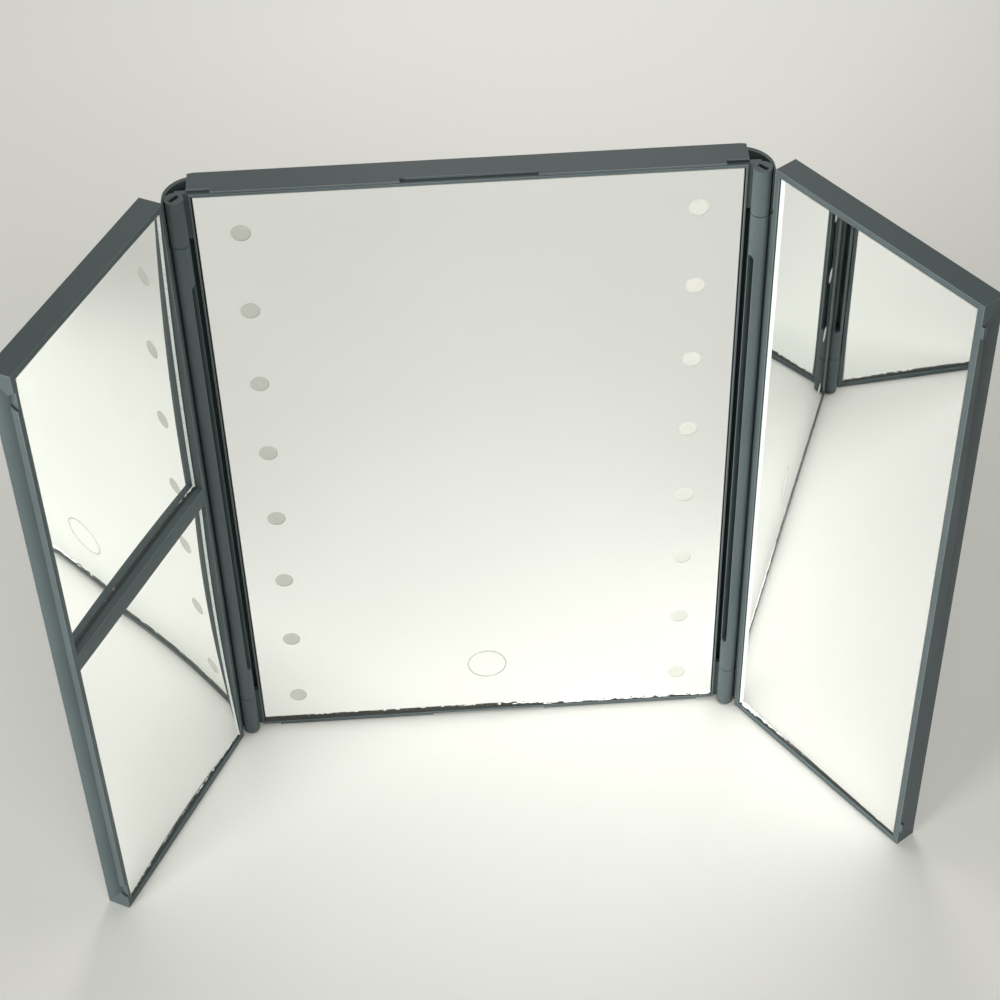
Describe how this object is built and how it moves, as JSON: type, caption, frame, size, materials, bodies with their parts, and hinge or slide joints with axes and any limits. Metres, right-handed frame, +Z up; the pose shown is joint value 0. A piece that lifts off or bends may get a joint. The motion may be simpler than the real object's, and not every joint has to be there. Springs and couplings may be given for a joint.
{
  "type": "trifold vanity mirror",
  "caption": "Free-standing vanity mirror: a lit centre panel with touch ring and two hinged side wings, one with curved magnifying panes, that fold shut.",
  "frame": {"origin": "middle of the centre panel's resting face, at half the centre panel's depth", "axes": "+Z up, +X to the viewer's right, +Y away from the viewer; the centre mirror faces -Y"},
  "size_m": [0.2998, 0.0942, 0.26],
  "materials": {
    "frame_plastic": "fine matte moulded texture",
    "shell_plastic": "fine matte moulded texture",
    "mirror_glass": "silvered glass, ground edges",
    "foam_tape": "white foam tape",
    "diffuser_plastic": "frosted",
    "light_board": "white solder mask",
    "diode_resin": "clear resin over phosphor",
    "conductive_foam": "soft foam",
    "control_board": "green solder mask",
    "chip_resin": "black resin",
    "screw_steel": "nickel plated",
    "socket_steel": "stamped and plated",
    "spring_steel": "rolled strip",
    "battery_foil": "satin foil",
    "wire_insulation": "smooth insulation"
  },
  "bodies": {
    "centre": {"centre_frame": "frame_plastic", "rear_shell": "shell_plastic", "centre_mirror": "mirror_glass", "centre_mirror_tape": "foam_tape", "left_diffuser": "diffuser_plastic", "right_diffuser": "diffuser_plastic", "left_light_board": "light_board", "right_light_board": "light_board", "left_light_diodes": "diode_resin", "right_light_diodes": "diode_resin", "touch_pad": "conductive_foam", "control_board": "control_board", "control_chips": "chip_resin", "board_screws": "screw_steel", "charging_socket": "socket_steel", "battery_pack": "battery_foil", "battery_tape": "foam_tape", "battery_wires": "wire_insulation", "left_light_wires": "wire_insulation", "right_light_wires": "wire_insulation", "rear_screws": "screw_steel", "left_hinge_pins": "screw_steel", "right_hinge_pins": "screw_steel"},
    "left_wing": {"left_wing_frame": "frame_plastic", "left_upper_mirror": "mirror_glass", "left_lower_mirror": "mirror_glass", "left_upper_tape": "foam_tape", "left_lower_tape": "foam_tape", "left_hinge_sleeves": "spring_steel"},
    "right_wing": {"right_wing_frame": "frame_plastic", "right_mirror": "mirror_glass", "right_mirror_tape": "foam_tape", "right_hinge_sleeves": "spring_steel"}
  },
  "joints": [
    {"name": "left_wing_hinge", "type": "hinge", "parent": "centre", "child": "left_wing", "pos_m": [-0.0933, -0.0067, 0.13], "axis": [0, 0, 1], "range_deg": [-62.7, 117.3]},
    {"name": "right_wing_hinge", "type": "hinge", "parent": "centre", "child": "right_wing", "pos_m": [0.0933, -0.0067, 0.13], "axis": [0, 0, -1], "range_deg": [-54.9, 125.1]}
  ]
}
